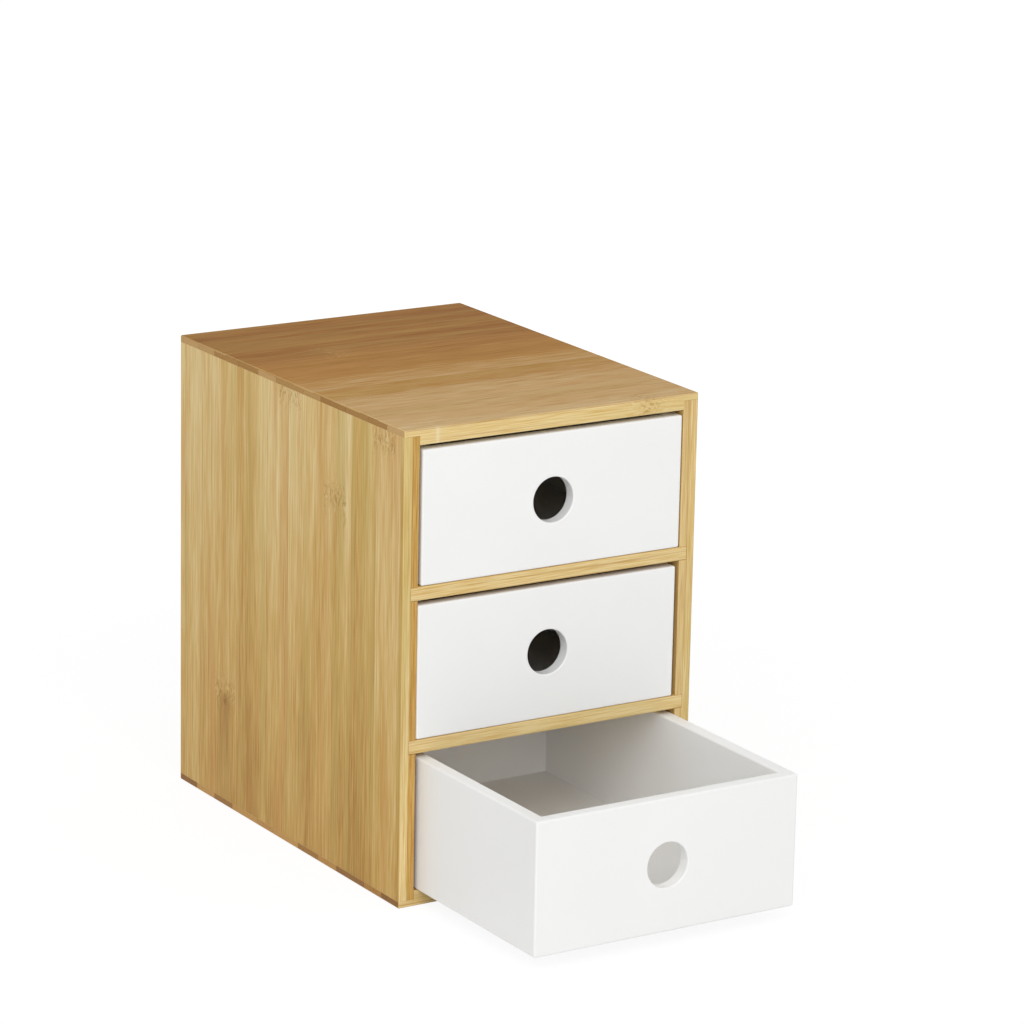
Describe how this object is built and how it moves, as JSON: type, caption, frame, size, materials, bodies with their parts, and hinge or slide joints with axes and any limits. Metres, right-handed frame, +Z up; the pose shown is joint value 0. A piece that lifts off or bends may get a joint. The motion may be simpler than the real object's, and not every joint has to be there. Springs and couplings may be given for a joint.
{
  "type": "desktop chest of mini drawers",
  "caption": "Desktop chest of small white drawers with round finger holes, stacked in an open-fronted bamboo carcass.",
  "frame": {"origin": "middle of the carcass's underside, on the surface it stands on", "axes": "+X to the chest's right, +Y from its front to its back, +Z up; drawers open along -Y"},
  "size_m": [0.147, 0.292, 0.21],
  "materials": {
    "bamboo": "laminated natural bamboo, clear satin lacquer",
    "bamboo_back": "thin natural bamboo board, clear satin lacquer",
    "white_paint": "fibreboard in smooth satin white paint"
  },
  "bodies": {
    "carcass": {"bottom_panel": "bamboo", "top_panel": "bamboo", "left_side_panel": "bamboo", "right_side_panel": "bamboo", "lower_shelf": "bamboo", "upper_shelf": "bamboo", "back_panel": "bamboo_back"},
    "lower_drawer": {"lower_drawer_front": "white_paint", "lower_drawer_back": "white_paint", "lower_drawer_left_side": "white_paint", "lower_drawer_right_side": "white_paint", "lower_drawer_bottom": "white_paint"},
    "middle_drawer": {"middle_drawer_front": "white_paint", "middle_drawer_back": "white_paint", "middle_drawer_left_side": "white_paint", "middle_drawer_right_side": "white_paint", "middle_drawer_bottom": "white_paint"},
    "upper_drawer": {"upper_drawer_front": "white_paint", "upper_drawer_back": "white_paint", "upper_drawer_left_side": "white_paint", "upper_drawer_right_side": "white_paint", "upper_drawer_bottom": "white_paint"}
  },
  "joints": [
    {"name": "lower_drawer_slide", "type": "slide", "parent": "carcass", "child": "lower_drawer", "axis": [0, -1, 0], "range_m": [-0.094, 0.0495]},
    {"name": "middle_drawer_slide", "type": "slide", "parent": "carcass", "child": "middle_drawer", "axis": [0, -1, 0], "range_m": [0, 0.1435]},
    {"name": "upper_drawer_slide", "type": "slide", "parent": "carcass", "child": "upper_drawer", "axis": [0, -1, 0], "range_m": [0, 0.1435]}
  ]
}
